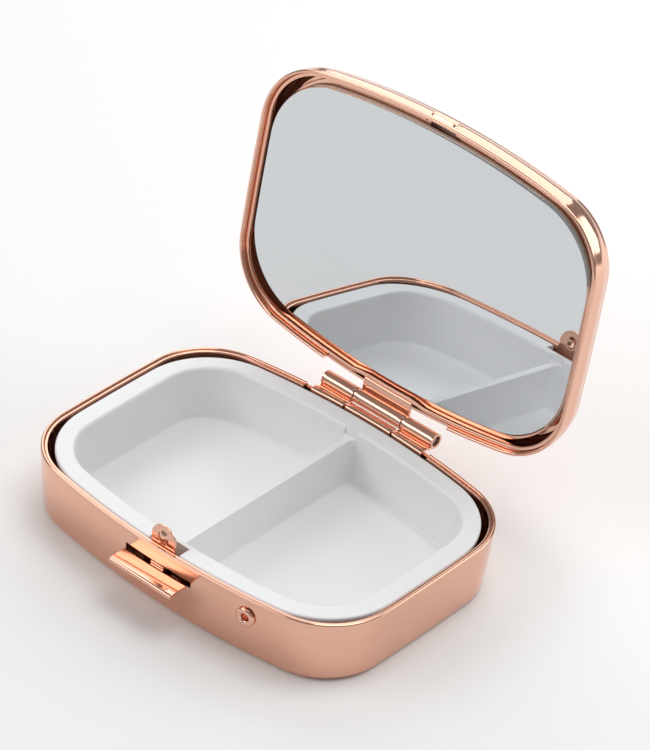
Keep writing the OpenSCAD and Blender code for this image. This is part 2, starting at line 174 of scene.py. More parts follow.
def cut(target, cutters, place=None):
    """Takes the cutters out of a piece and keeps the result as its mesh."""
    for bm in cutters:
        cutter = piece("cutter", bm, place)
        modifier = target.modifiers.new("cut", "BOOLEAN")
        modifier.object, modifier.operation, modifier.solver = cutter, "DIFFERENCE", "EXACT"
        view = bpy.context.evaluated_depsgraph_get()
        mesh = bpy.data.meshes.new_from_object(target.evaluated_get(view))
        target.modifiers.clear()
        target.data = mesh
        bpy.data.objects.remove(cutter)
    target.data.set_sharp_from_angle(angle=math.radians(SHARP_ANGLE))


def wall_inset(z):
    """How far the base's wall lies inside the rim: upright above, curving in below."""
    below = max(0.0, BASE_H - STRAIGHT_H - z)
    return PROUD + LEAN * (below / (BASE_H - STRAIGHT_H - EDGE_R)) ** LEAN_CURVE


def cup_section(height, wall_steps):
    """Section of a drawn cup with a rolled bead, from its outer flat to its inner flat."""
    drop = height - BASE_H
    foot = wall_inset(EDGE_R)
    flat = foot + EDGE_R
    section = [(flat + 1.5, 0), (flat + 0.4, 0)]
    for a in spaced(0, math.radians(90), 10):
        section.append((flat - EDGE_R * math.sin(a), EDGE_R * (1 - math.cos(a))))
    top = height - STRAIGHT_H
    for z in spaced(EDGE_R, top, wall_steps):
        lean = LEAN * ((top - z) / (top - EDGE_R)) ** LEAN_CURVE
        section.append((PROUD + lean, z))
    bead = height - BEAD_H
    for z in spaced(top, bead - 0.1, 8) + [bead - 0.06, bead - 0.02]:
        section.append((PROUD, z))
    section += [(PROUD - 0.02, bead), (0.05, bead + 0.02), (0.01, bead + 0.08), (0, bead + 0.16)]
    section += [(0, bead + 0.32), (0, height - 0.3)]
    for a in spaced(0, math.pi, 14) + [math.pi]:
        section.append((0.29 - 0.29 * math.cos(a), height - 0.28 + 0.28 * math.sin(a)))
    section += [(0.6, height - 0.4), (WALL_IN, height - 0.55)]
    inner = [(i + SHELL_T, z) for i, z in section if top > z > EDGE_R and i < foot + 0.01]
    section += [(WALL_IN, top)] + list(reversed(inner))
    inner_r = EDGE_R - SHELL_T
    for a in reversed(spaced(0, math.radians(90), 8) + [math.radians(90)]):
        section.append((flat - inner_r * math.sin(a), SHELL_T + inner_r * (1 - math.cos(a))))
    return section + [(flat + 0.4, SHELL_T), (flat + 1.5, SHELL_T)]


def front_y(x, inset):
    """Y of the front wall at x, at a given distance inside the rim."""
    return -(HALF_W - SIDE_BOW_R + math.sqrt((SIDE_BOW_R - inset) ** 2 - x * x))


RIVET_AXIS = (
    Matrix.Translation((RIVET_X, front_y(RIVET_X, wall_inset(RIVET_Z)), RIVET_Z))
    @ Matrix.Rotation(RIVET_TURN, 4, "Z")
    @ Matrix.Rotation(math.radians(90) + RIVET_LEAN, 4, "X")
)

bm = bmesh.new()
swept(bm, [(outline(inset), z) for inset, z in cup_section(BASE_H, 10)])
base_shell = piece("base_shell_drawn", bm)
cut(
    base_shell,
    [
        block((-GAP_L / 2, HALF_W - CUT_REACH, GAP_Z), (GAP_L / 2, HALF_W + CUT_REACH, BASE_H + 2)),
        block((-SLOT_HALF_L, -HALF_W - 2, SLOT_Z0), (SLOT_HALF_L, -HALF_W + 2, SLOT_Z1)),
        drill(SHANK_R, 4, RIVET_AXIS),
    ],
)


def linear(code):
    """An sRGB hex colour as linear RGBA."""
    values = [int(code[i : i + 2], 16) / 255 for i in (0, 2, 4)]
    return (*[v / 12.92 if v <= 0.04045 else ((v + 0.055) / 1.055) ** 2.4 for v in values], 1)


def add(tree, kind, settings=None, inputs=None):
    """Adds a shader node, sets its own settings, and sets or links its inputs."""
    node = tree.nodes.new(kind)
    for key, value in (settings or {}).items():
        setattr(node, key, value)
    for key, value in (inputs or {}).items():
        if isinstance(value, bpy.types.NodeSocket):
            tree.links.new(value, node.inputs[key])
        else:
            node.inputs[key].default_value = value
    return node


def material(name, **inputs):
    """A new material whose Principled shader has the given inputs, and its node tree."""
    made = bpy.data.materials.new(name)
    made.use_nodes = True
    shader = made.node_tree.nodes["Principled BSDF"]
    for key, value in inputs.items():
        shader.inputs[key.replace("_", " ")].default_value = value
    return made, made.node_tree, shader


def object_noise(tree, size_mm, detail=2.0, stretch=(1, 1, 1)):
    """Noise whose grains are about size_mm across, fixed to the piece."""
    place = add(tree, "ShaderNodeTexCoord").outputs["Object"]
    scaled = add(tree, "ShaderNodeMapping", inputs={"Vector": place, "Scale": stretch})
    return add(
        tree,
        "ShaderNodeTexNoise",
        inputs={"Vector": scaled.outputs[0], "Scale": 1 / (size_mm * MM), "Detail": detail},
    ).outputs["Fac"]


def roughen(tree, shader, pattern, low, high, start=0.3, end=0.7):
    """Lets a pattern's start..end vary a shader's roughness from low to high."""
    varied = add(
        tree,
        "ShaderNodeMapRange",
        inputs={
            "Value": pattern,
            "From Min": start,
            "From Max": end,
            "To Min": low,
            "To Max": high,
        },
    )
    tree.links.new(varied.outputs[0], shader.inputs["Roughness"])


def bump(tree, shader, height, depth_mm):
    """Gives a shader a relief of the given depth."""
    relief = add(
        tree,
        "ShaderNodeBump",
        inputs={"Height": height, "Distance": depth_mm * MM, "Strength": 1.0},
    )
    tree.links.new(relief.outputs[0], shader.inputs["Normal"])


# Rose-gold plate on buffed brass: close to a mirror, its colour deepening with each
# reflection, with a faint uneven haze where the buffing wheel has passed.
rose_gold, tree, shader = material(
    "rose_gold_plate_buffed", Base_Color=linear("ebb9a2"), Metallic=1.0, Roughness=0.1
)
roughen(tree, shader, object_noise(tree, 6.0, 3.0), 0.08, 0.14)
bump(tree, shader, object_noise(tree, 9.0, 1.0), 0.004)


def dress(made, finish, body, slot, *nodes):
    """Gives a piece its material and its body, and hides the CAD nodes it stands for; slot is not
    used.
    """
    made.data.materials.clear()
    made.data.materials.append(finish)
    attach(made, body)
    if nodes:
        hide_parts(*nodes)


dress(base_shell, rose_gold, "base", "rose_gold", "base_shell")

# ---------------------------------------------------------------------------
# Inner band of the base: a narrow strip of the same plated metal, bent to the
# outline and pressed in just below the bead, open where the hinge leaf passes.
# ---------------------------------------------------------------------------
BAND_IN, BAND_W, BAND_TOP, BAND_H = WALL_IN + 0.02, 0.5, 11.75, 1.45


def band_section(inset, width, z0, z1, rounding=0.14, steps=5):
    """Section of a flat strip on edge, with rounded edges, as a closed loop."""
    r, section = rounding, []
    corners = [(inset + r, z0 + r, 180), (inset + width - r, z0 + r, 270)]
    corners += [(inset + width - r, z1 - r, 0), (inset + r, z1 - r, 90)]
    for across, up, angle in corners:
        for a in spaced(angle, angle + 90, steps) + [angle + 90]:
            a = math.radians(a)
            section.append((across + r * math.cos(a), up + r * math.sin(a)))
    return section + [section[0]]


bm = bmesh.new()
section = band_section(BAND_IN, BAND_W, BAND_TOP - BAND_H, BAND_TOP)
swept(bm, [(outline(inset), z) for inset, z in section], close=True)
base_band = piece("base_inner_band_bent", bm)
cut(
    base_band,
    [block((-GAP_L / 2, HALF_W - CUT_REACH, 0), (GAP_L / 2, HALF_W + CUT_REACH, BASE_H + 2))],
)
dress(base_band, rose_gold, "base", "rose_gold", "base_inner_band")

# ---------------------------------------------------------------------------
# Tray: one injection moulding in white polystyrene that drops into the base,
# with two pockets, a divider a little below the flange, soft edges everywhere
# and a notch behind the latch.
# ---------------------------------------------------------------------------
TRAY_TOP, TRAY_UNDER, FLANGE_T = 11.6, 0.5, 1.0
TRAY_IN, TRAY_CORNER_R = 1.42, 14.18
FLANGE_W, FLANGE_END_W, POCKET_R = 4.8, 5.0, 9.6
POCKET_Z, POCKET_LEAN, FLOOR_R = 2.0, 1.0, 0.6
DIVIDER_HALF_W, DIVIDER_FOOT, DIVIDER_DROP = 0.55, 0.3, 1.4
POCKET_CORNER_R, POCKET_RIM_R, TRAY_EDGE_R = 1.2, 0.6, 0.4
NOTCH_HALF_W, NOTCH_BACK_Y, NOTCH_Z = 3.3, -21.72, 5.6


def tray_ring(t, z):
    """The tray's outline moved in by t, at one height."""
    return outline(TRAY_IN + t, TRAY_IN + t, TRAY_CORNER_R - t), z


def along(points, count):
    """Points spread evenly along an open path."""
    lengths = [0.0]
    for a, b in zip(points, points[1:]):
        lengths.append(lengths[-1] + math.dist(a, b))
    made, at = [], 0
    for i in range(count):
        want = lengths[-1] * i / (count - 1)
        while at < len(points) - 2 and lengths[at + 1] < want:
            at += 1
        part = (want - lengths[at]) / (lengths[at + 1] - lengths[at])
        a, b = points[at], points[at + 1]
        made.append((a[0] + (b[0] - a[0]) * part, a[1] + (b[1] - a[1]) * part))
    return made


def pocket_ring(t, z, divider):
    """One level of the right pocket: the outline clipped at the divider, corners rounded."""
    corner = POCKET_CORNER_R
    inside = divider + corner
    full = outline(FLANGE_W - t, FLANGE_END_W - t, POCKET_R + t)
    back = [(x, y) for x, y in full if x > inside and y >= 0]
    front = [(x, y) for x, y in full if x > inside and y < 0]
    path = front + back
    edge_y = HALF_W - FLANGE_W + t
    path = along([(inside, -edge_y)] + path + [(inside, edge_y)], 96)
    centre_y = edge_y - corner
    turn = [math.radians(a) for a in spaced(90, 180, 6) + [180]]
    upper = [(inside + corner * math.cos(a), centre_y + corner * math.sin(a)) for a in turn[1:]]
    lower = [(x, -y) for x, y in reversed(upper)]
    wall = along([upper[-1], lower[0]], 10)[1:-1]
    return path + upper + wall + lower, z


def pocket(side):
    """Cutter for one pocket, open above and rounded into its floor below."""
    rings = []
    for a in spaced(0, math.radians(90), 6):
        t = -POCKET_LEAN - FLOOR_R * (1 - math.sin(a))
        z = POCKET_Z + FLOOR_R * (1 - math.cos(a))
        rings.append(pocket_ring(t, z, DIVIDER_HALF_W + DIVIDER_FOOT + (-POCKET_LEAN - t) / 2))
    rim_r = POCKET_RIM_R
    for z in spaced(POCKET_Z + FLOOR_R, TRAY_TOP - rim_r, 5):
        part = (z - POCKET_Z) / (TRAY_TOP - POCKET_Z)
        divider = DIVIDER_HALF_W + DIVIDER_FOOT * (1 - part)
        rings.append(pocket_ring(-POCKET_LEAN * (1 - part) - 0.1 * part, z, divider))
    for a in spaced(0, math.radians(90), 6) + [math.radians(89)]:
        t = -0.1 + rim_r * (1 - math.cos(a))
        rings.append(pocket_ring(t, TRAY_TOP - rim_r * (1 - math.sin(a)), DIVIDER_HALF_W))
    rings.append(pocket_ring(t, TRAY_TOP + 1, DIVIDER_HALF_W))
    bm = bmesh.new()
    swept(bm, rings)
    if side < 0:
        bmesh.ops.scale(bm, vec=(-1, 1, 1), verts=bm.verts)
        bmesh.ops.reverse_faces(bm, faces=bm.faces)
    return bm


bm = bmesh.new()
foot_steps = [(3.4, 0), (2.9, 0), (2.5, 0.3), (2.3, 1)]
rings = [tray_ring(t, TRAY_UNDER + rise) for t, rise in foot_steps]
rings.append(tray_ring(1.5, TRAY_TOP - FLANGE_T))
rings += [tray_ring(0.2, TRAY_TOP - FLANGE_T), tray_ring(0.05, TRAY_TOP - FLANGE_T + 0.1)]
for a in spaced(0, math.radians(90), 6) + [math.radians(90)]:
    t, drop = TRAY_EDGE_R * (1 - math.cos(a)), TRAY_EDGE_R * (1 - math.sin(a))
    rings.append(tray_ring(t, TRAY_TOP - drop))
rings.append(tray_ring(0.8, TRAY_TOP))
swept(bm, rings)
tray = piece("pill_tray_moulded", bm)
cut(
    tray,
    [
        pocket(1),
        pocket(-1),
        block(
            (-1.4, -HALF_W + FLANGE_W - 0.05, TRAY_TOP - DIVIDER_DROP),
            (1.4, HALF_W - FLANGE_W + 0.05, TRAY_TOP + 2),
        ),
        block((-NOTCH_HALF_W, -HALF_W - 1, NOTCH_Z), (NOTCH_HALF_W, NOTCH_BACK_Y, TRAY_TOP + 2)),
    ],
)
soften = tray.modifiers.new("soft_edges", "BEVEL")
soften.width, soften.segments, soften.limit_method = 0.22 * MM, 3, "ANGLE"
soften.angle_limit = math.radians(50)
even = tray.modifiers.new("even_shading", "WEIGHTED_NORMAL")
even.keep_sharp = True

# Moulded polystyrene: a white with a little light going in, a clear gloss from the
# polished tool, and the faintest waviness.
polystyrene, tree, shader = material(
    "polystyrene_white_moulded",
    Base_Color=linear("f5f5f6"),
    Roughness=0.32,
    IOR=1.55,
    Subsurface_Weight=0.25,
    Subsurface_Radius=(1.0, 0.9, 0.85),
    Subsurface_Scale=0.8 * MM,
)
roughen(tree, shader, object_noise(tree, 9.0, 1.0), 0.3, 0.34)
bump(tree, shader, object_noise(tree, 7.0, 1.0), 0.002)
dress(tray, polystyrene, "base", "white_plastic", "pill_tray")

# ---------------------------------------------------------------------------
# Hinge leaf of the base: sheet metal inside the back wall, bent out over the
# rim's gap, with a tab at each end rolled round the pin into a knuckle.
# ---------------------------------------------------------------------------
HINGE_Y, HINGE_Z, KNUCKLE_R, LEAF_T = 27.9, 12.2, 1.35, 0.42
HINGE_HALF_L, MID_HALF_L, KNUCKLE_GAP = 12.0, 5.1, 0.15
LEAF_TOP_Z, LEAF_FOOT_Z, LEAF_BEND_Y, FOLLOW_RUN = 11.88, 9.8, 25.65, 0.6
MID_R = KNUCKLE_R - LEAF_T / 2


def sheet_path(points, bend_r, steps=5):
    """An open path of straight runs in (y, z), with its inner corners rounded."""
    made = [Vector(points[0])]
    for a, b, c in zip(points, points[1:], points[2:]):
        a, b, c = Vector(a), Vector(b), Vector(c)
        back, on = (a - b).normalized(), (c - b).normalized()
        reach = bend_r / math.tan(back.angle(on) / 2)
        start, end = b + back * reach, b + on * reach
        for i in range(steps + 1):
            t = i / steps
            made.append(start * (1 - t) ** 2 + b * 2 * t * (1 - t) + end * t * t)
    return made + [Vector(points[-1])]


def strip(bm, path, x0, x1, steps):
    """A sheet with the given (y, z) path, running from x0 to x1."""
    verts = [bm.verts.new((x0, p[0], p[1])) for p in path]
    edges = [bm.edges.new(pair) for pair in zip(verts, verts[1:])]
    for _ in range(steps):
        verts, edges = extruded(bm, edges)
        bmesh.ops.translate(bm, vec=((x1 - x0) / steps, 0, 0), verts=verts)


def thicken(made, thickness, edge, segments=3):
    """Gives a sheet its thickness, half to each side, and rounds its edges."""
    wall = made.modifiers.new("sheet", "SOLIDIFY")
    wall.thickness, wall.offset, wall.use_even_offset = thickness * MM, 0, True
    soft = made.modifiers.new("edges", "BEVEL")
    soft.width, soft.segments, soft.limit_method = edge * MM, segments, "ANGLE"
    soft.angle_limit = math.radians(50)


def curl(start_angle, sweep, radius=MID_R, steps=40):
    """Points round the hinge axis from one angle on, in degrees."""
    angles = [math.radians(start_angle + sweep * i / steps) for i in range(steps + 1)]
    return [(HINGE_Y + radius * math.cos(a), HINGE_Z + radius * math.sin(a)) for a in angles]


def clamped(value):
    """A value held between 0 and 1."""
    return min(1.0, max(0.0, value))


def follow_wall(bm):
    """Bows the part of a leaf that lies against the back wall as the wall is bowed."""
    for v in bm.verts:
        follow = clamped((LEAF_BEND_Y - v.co.y) / FOLLOW_RUN)
        v.co.y -= follow * v.co.x**2 / (2 * SIDE_BOW_R)


leaf_mid_z = LEAF_TOP_Z - LEAF_T / 2
plate_y = HALF_W - WALL_IN - 0.02 - LEAF_T / 2
bend = (LEAF_BEND_Y, leaf_mid_z)
to_axis = Vector((HINGE_Y - bend[0], HINGE_Z - bend[1]))
slope = math.atan2(to_axis.y, to_axis.x) - math.asin(MID_R / to_axis.length)
tangent = math.degrees(slope) - 90
lip_end = (bend[0] + 0.6 * math.cos(slope), bend[1] + 0.6 * math.sin(slope))
foot = [(plate_y, LEAF_FOOT_Z), (plate_y, leaf_mid_z)]
bm = bmesh.new()
for side in (-1, 1):
    ends = sorted((side * (MID_HALF_L + KNUCKLE_GAP), side * HINGE_HALF_L))
    knuckle = sheet_path(foot + [bend], 0.3) + [Vector(p) for p in curl(tangent, 335)]
    strip(bm, knuckle, *ends, 8)
strip(bm, sheet_path(foot + [bend, lip_end], 0.3), -MID_HALF_L + 0.2, MID_HALF_L - 0.2, 8)
follow_wall(bm)
base_leaf = piece("base_hinge_leaf_rolled", bm)
thicken(base_leaf, LEAF_T, 0.06)
dress(base_leaf, rose_gold, "base", "rose_gold", "base_hinge_leaf")

# ---------------------------------------------------------------------------
# Hinge pin: a length of drawn steel wire pushed through the knuckles and left
# a little below their ends, its ends slightly domed by the cropping tool.
# ---------------------------------------------------------------------------
PIN_R, PIN_HALF_L = 0.8, 11.65


def turned(profile, axis_matrix, segments=64):
    """A turned solid from (radius, height) points, spun round Z and put in place."""
    bm = bmesh.new()
    verts = [bm.verts.new((r, 0, z)) for r, z in profile]
    edges = [bm.edges.new(pair) for pair in zip(verts, verts[1:])]
    bmesh.ops.spin(
        bm,
        geom=verts + edges,
        axis=(0, 0, 1),
        cent=(0, 0, 0),
        angle=math.tau,
        steps=segments,
        use_merge=True,
    )
    bmesh.ops.remove_doubles(bm, verts=bm.verts, dist=1e-4)
    bmesh.ops.recalc_face_normals(bm, faces=bm.faces)
    bmesh.ops.transform(bm, matrix=axis_matrix, verts=bm.verts)
    return bm


half_pin = [(0, PIN_HALF_L), (PIN_R * 0.5, PIN_HALF_L - 0.02), (PIN_R * 0.85, PIN_HALF_L - 0.08)]
half_pin += [(PIN_R * 0.97, PIN_HALF_L - 0.16), (PIN_R, PIN_HALF_L - 0.28)]
profile = half_pin + [(r, -z) for r, z in reversed(half_pin)]
pin_place = Matrix.Translation((0, HINGE_Y, HINGE_Z)) @ Matrix.Rotation(math.radians(90), 4, "Y")
pin = piece("hinge_pin_wire", turned(profile, pin_place))

# Drawn steel wire: grey, with fine lines along its length left by the die.
steel, tree, shader = material(
    "steel_wire_drawn", Base_Color=linear("8f8e90"), Metallic=1.0, Roughness=0.3
)
lines = object_noise(tree, 0.25, 2.0, (0.05, 1, 1))
roughen(tree, shader, lines, 0.2, 0.4)
bump(tree, shader, lines, 0.004)
dress(pin, steel, "base", "pin_steel", "hinge_pin")

# ---------------------------------------------------------------------------
# Lid shell: drawn and rolled like the base but shallower, with a small catch
# pressed outwards in the front wall for the latch's dimple. It is drawn closed
# and then turned back on the hinge to its stop.
# ---------------------------------------------------------------------------
OPEN_ANGLE, LID_H, LID_GAP = 97.4, 5.8, 0.1
LID_Z = BASE_H + LID_GAP
CATCH_Z, CATCH_HALF_L, CATCH_HALF_H, CATCH_OUT, CATCH_SLOPE = 14.1, 2.9, 0.9, 0.42, 0.42
FINE_Z0, FINE_Z1, FINE_STEP, FRONT_BACK_Y = 13.05, 15.3, 0.11, 20.0
LID_STRIP_Z = HINGE_Z + KNUCKLE_R - 0.05 - LEAF_T

OPENED = (
    Matrix.Translation((0, HINGE_Y, HINGE_Z))
    @ Matrix.Rotation(math.radians(-OPEN_ANGLE), 4, "X")
    @ Matrix.Translation((0, -HINGE_Y, -HINGE_Z))
)


def eased(value):
    """A smooth step from 0 to 1."""
    t = clamped(value)
    return t * t * (3 - 2 * t)


def catch_height(x, z):
    """How far the catch stands out at a point of the front wall: a flat-topped pill shape."""
    run = max(0.0, abs(x) - (CATCH_HALF_L - CATCH_HALF_H))
    away = math.hypot(run, z - CATCH_Z) / CATCH_HALF_H
    return CATCH_OUT * eased((1.0 - away) / CATCH_SLOPE)


bm = bmesh.new()
section = [(inset, LID_Z + LID_H - z) for inset, z in cup_section(LID_H, 6)]
fine = []
for (i0, z0), (i1, z1) in zip(section, section[1:]):
    by_catch = FINE_Z0 < max(z0, z1) and min(z0, z1) < FINE_Z1 and abs(i1 - i0) < 0.3
    steps = max(1, round(abs(z1 - z0) / FINE_STEP)) if by_catch else 1
    for k in range(steps):
        fine.append((i0 + (i1 - i0) * k / steps, z0 + (z1 - z0) * k / steps))
fine.append(section[-1])
swept(bm, [(outline(inset), z) for inset, z in fine])
for v in bm.verts:
    if v.co.y < -FRONT_BACK_Y:
        v.co.y -= catch_height(v.co.x, v.co.z)
lid_shell = piece("lid_shell_drawn", bm, OPENED)
cut(
    lid_shell,
    [
        block(
            (-GAP_L / 2, HALF_W - CUT_REACH, LID_Z - 1),
            (GAP_L / 2, HALF_W + CUT_REACH, LID_Z + BEAD_H),
        ),
        block(
            (-MID_HALF_L - 0.2, HALF_W - CUT_REACH, LID_Z - 1),
            (MID_HALF_L + 0.2, HALF_W + CUT_REACH, LID_STRIP_Z + LEAF_T + 0.05),
        ),
    ],
    OPENED,
)
dress(lid_shell, rose_gold, "lid", "rose_gold", "lid_shell")

# ---------------------------------------------------------------------------
# Hinge leaf of the lid: sheet metal between the lid's back wall and its inner
# band, bent out through the gap and rolled into the middle knuckle.
# ---------------------------------------------------------------------------
LID_LEAF_FOOT_Z = LID_Z + STRAIGHT_H - 0.1
strip_mid_z = LID_STRIP_Z + LEAF_T / 2
foot = [(plate_y, LID_LEAF_FOOT_Z), (plate_y, strip_mid_z), (HINGE_Y - 0.4, strip_mid_z)]
start = math.degrees(math.atan2(strip_mid_z - HINGE_Z, -0.25))
rolled = sheet_path(foot, 0.3) + [Vector(p) for p in curl(start, -325)]
bm = bmesh.new()
strip(bm, rolled, -MID_HALF_L, MID_HALF_L, 8)
follow_wall(bm)
lid_leaf = piece("lid_hinge_leaf_rolled", bm, OPENED)
thicken(lid_leaf, LEAF_T, 0.06)
dress(lid_leaf, rose_gold, "lid", "rose_gold", "lid_hinge_leaf")

# ---------------------------------------------------------------------------
# Inner band of the lid: a strip bent to the outline and pressed in below the
# bead, stepped inwards where it crosses the hinge leaf, cut for the tongue.
# ---------------------------------------------------------------------------
LID_BAND_W, LID_BAND_Z, LID_BAND_H = 0.7, LID_Z + BEAD_H, 1.4
JOG, JOG_HALF_L, JOG_RUN, TONGUE_CUT_HALF = 0.46, 5.4, 1.6, 3.1

bm = bmesh.new()
section = band_section(BAND_IN, LID_BAND_W, LID_BAND_Z, LID_BAND_Z + LID_BAND_H, 0.18)
swept(bm, [(outline(inset), z) for inset, z in section], close=True)
for v in bm.verts:
    if v.co.y > FRONT_BACK_Y:
        v.co.y -= JOG * eased((JOG_HALF_L + JOG_RUN - abs(v.co.x)) / JOG_RUN)
lid_band = piece("lid_inner_band_bent", bm, OPENED)
cut(
    lid_band,
    [block((-TONGUE_CUT_HALF, -HALF_W - 1, LID_Z), (TONGUE_CUT_HALF, -HALF_W + 4, LID_Z + 4))],
    OPENED,
)
dress(lid_band, rose_gold, "lid", "rose_gold", "lid_inner_band")

# ---------------------------------------------------------------------------
# Mirror, its seat and its pad: silvered glass, 1.2 mm thick with ground edges, on
# a metal sheet, with an off-white foam pad that fills the lid behind it.
# ---------------------------------------------------------------------------
MIRROR_IN, MIRROR_END_IN, MIRROR_R = 2.6, 1.6, 13.4
GLASS_Z, GLASS_T, GLASS_BEVEL = LID_Z + 1.25, 1.2, 0.3


def slab(inset, corner_r, z0, z1, edge):
    """Rings of a flat plate with the mirror's outline and narrow slanted edges."""
    steps = [(edge + 0.3, z0), (edge, z0), (0, z0 + edge), (0, z1 - edge), (edge, z1)]
    steps.append((edge + 0.3, z1))
    return [
        (outline(MIRROR_IN + inset + t, MIRROR_END_IN + inset + t, corner_r - t), z)
        for t, z in steps
    ]


bm = bmesh.new()
swept(bm, slab(0, MIRROR_R, GLASS_Z, GLASS_Z + GLASS_T, GLASS_BEVEL))
mirror = piece("mirror_glass_ground", bm, OPENED, sharp=20)

# Silvered glass: the coating reflects nearly everything with a slight cool cast.
silvered, tree, shader = material(
    "mirror_glass_silvered", Base_Color=linear("d8dbdd"), Metallic=1.0, Roughness=0.0
)
roughen(tree, shader, object_noise(tree, 14.0, 3.0), 0.0, 0.02, 0.45, 0.75)

# Ground glass edge: pale, greenish and dull from the wheel.
ground, tree, shader = material(
    "mirror_edge_ground", Base_Color=linear("dfe9e4"), Roughness=0.35, IOR=1.52
)
grit = object_noise(tree, 0.3, 3.0)
roughen(tree, shader, grit, 0.28, 0.5)
bump(tree, shader, grit, 0.01)
dress(mirror, silvered, "lid", "mirror", "mirror_glass")
mirror.data.materials.append(ground)
face_normal = (OPENED.to_3x3() @ Vector((0, 0, -1))).normalized()
for polygon in mirror.data.polygons:
    polygon.material_index = 0 if polygon.normal.dot(face_normal) > 0.5 else 1

# Seat: a flat sheet of the same metal that the glass lies on, notched for the tongue.
SEAT_OUT, SEAT_END_OUT, SEAT_R, SEAT_T, BACKING_IN = 1.6, 0.3, MIRROR_R + 3, 0.4, 0.7


def seat_outline(t):
    """The seat's outline, moved in by t."""
    return outline(MIRROR_IN - SEAT_OUT + t, MIRROR_END_IN - SEAT_END_OUT + t, SEAT_R - t)


seat_z = GLASS_Z + GLASS_T
bm = bmesh.new()
rings = [(seat_outline(2), seat_z), (seat_outline(0.12), seat_z), (seat_outline(0), seat_z + 0.1)]
rings += [(seat_outline(0), seat_z + SEAT_T), (seat_outline(2), seat_z + SEAT_T)]
swept(bm, rings)
seat = piece("mirror_seat_sheet", bm, OPENED)
notch = (TONGUE_CUT_HALF, -HALF_W + MIRROR_IN + 0.1, LID_Z + LID_H)
cut(seat, [block((-TONGUE_CUT_HALF, -HALF_W - 1, LID_Z), notch)], OPENED)
dress(seat, rose_gold, "lid", "rose_gold", "mirror_seat")

bm = bmesh.new()
pad_z = seat_z + SEAT_T
swept(bm, slab(BACKING_IN, MIRROR_R - BACKING_IN, pad_z, LID_Z + LID_H - SHELL_T, 0.1))
pad = piece("mirror_pad_foam", bm, OPENED)

# Closed-cell foam: off-white, matt and finely pitted.
foam, tree, shader = material("foam_pad_closed_cell", Base_Color=linear("d9d5d0"), Roughness=0.9)
cells = object_noise(tree, 0.4, 2.0)
tint = add(
    tree,
    "ShaderNodeMix",
    {"data_type": "RGBA"},
    {0: cells, 6: linear("cfcac4"), 7: linear("e2dfda")},
)
tree.links.new(tint.outputs[2], shader.inputs["Base Color"])
bump(tree, shader, cells, 0.08)
dress(pad, foam, "lid", "pad", "mirror_backing")

# ---------------------------------------------------------------------------
# Latch spring: a strip of hard brass behind the front wall, held by the rivet
# at one end and carrying the tongue and the thumb-piece at the other.
# ---------------------------------------------------------------------------
LATCH_T, STRIP_Z0, STRIP_Z1 = 0.34, 6.6, 9.8
TONGUE_Y = -HALF_W + 1.3
SPRING_LEFT, BEND_X, SPRING_RIGHT = -4.2, RIVET_X - 3.4, RIVET_X + 3.2
SPRING_STEPS = 48

spring_mid = LATCH_T / 2 + 0.06
inner = wall_inset(STRIP_Z0) + SHELL_T
plan = [
    (SPRING_LEFT, TONGUE_Y + LATCH_T * 1.5 + 0.01),
    (BEND_X, front_y(BEND_X, inner) + spring_mid),
    (SPRING_RIGHT, front_y(SPRING_RIGHT, inner) + spring_mid),
]
bm = bmesh.new()
verts = [bm.verts.new((x, y, STRIP_Z0)) for x, y in along(sheet_path(plan, 1.5), SPRING_STEPS)]
edges = [bm.edges.new(pair) for pair in zip(verts, verts[1:])]
raised = extruded(bm, edges)[0]
bmesh.ops.translate(bm, vec=(0, 0, STRIP_Z1 - STRIP_Z0), verts=raised)
spring = piece("latch_spring_strip", bm)
thicken(spring, LATCH_T, 0.05)
spring.data.materials.append(rose_gold)
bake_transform(spring)
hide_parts("latch_spring")

# ---------------------------------------------------------------------------
# Tongue: the upright end of the latch, a round-topped tab with a dimple pressed
# forwards that springs into the lid's catch.
# ---------------------------------------------------------------------------
TONGUE_HALF_W, TONGUE_TOP, DIMPLE_Z = 2.5, 15.7, 13.7
DIMPLE_R, DIMPLE_OUT, DIMPLE_STEPS, TONGUE_SEGMENTS = 1.15, 0.5, 10, 96


def tongue_edge(angle):
    """Distance from the dimple's centre to the tab's edge at an angle, in mm."""
    dx, dz = math.cos(angle), math.sin(angle)
    centre_z = TONGUE_TOP - TONGUE_HALF_W
    above = DIMPLE_Z - centre_z
    reach = -above * dz + math.sqrt((above * dz) ** 2 - above**2 + TONGUE_HALF_W**2)
    if above + reach * dz >= 0:
        return reach
    sideways = TONGUE_HALF_W / max(abs(dx), 1e-6)
    return min(sideways, (DIMPLE_Z - STRIP_Z0) / max(-dz, 1e-6))


bm = bmesh.new()
bmesh.ops.create_circle(bm, segments=TONGUE_SEGMENTS, radius=DIMPLE_R)
edges = list(bm.edges)
face = bmesh.ops.contextual_create(bm, geom=edges)["faces"][0]
step = DIMPLE_R / (DIMPLE_STEPS + 1)
for k in range(DIMPLE_STEPS):
    r0, r1 = 1 - k / (DIMPLE_STEPS + 1), 1 - (k + 1) / (DIMPLE_STEPS + 1)
    rise = DIMPLE_OUT * (math.cos(r1 * math.pi / 2) ** 1.2 - math.cos(r0 * math.pi / 2) ** 1.2)
    bmesh.ops.inset_individual(bm, faces=[face], thickness=step, use_even_offset=True)
    bmesh.ops.translate(bm, vec=(0, 0, rise), verts=face.verts[:])
for part in (0.12, 0.5, 0.9, 1.0):
    verts, edges = extruded(bm, edges)
    for v in verts:
        a = math.atan2(v.co.y, v.co.x)
        r = DIMPLE_R + (tongue_edge(a) - DIMPLE_R) * part
        v.co.x, v.co.y = r * math.cos(a), r * math.sin(a)
bmesh.ops.recalc_face_normals(bm, faces=bm.faces)
stand = Matrix.Translation((0, TONGUE_Y + LATCH_T / 2, DIMPLE_Z)) @ Matrix.Rotation(
    math.radians(90), 4, "X"
)
tongue = piece("latch_tongue_pressed", bm, stand, sharp=60)
thicken(tongue, LATCH_T, 0.07)
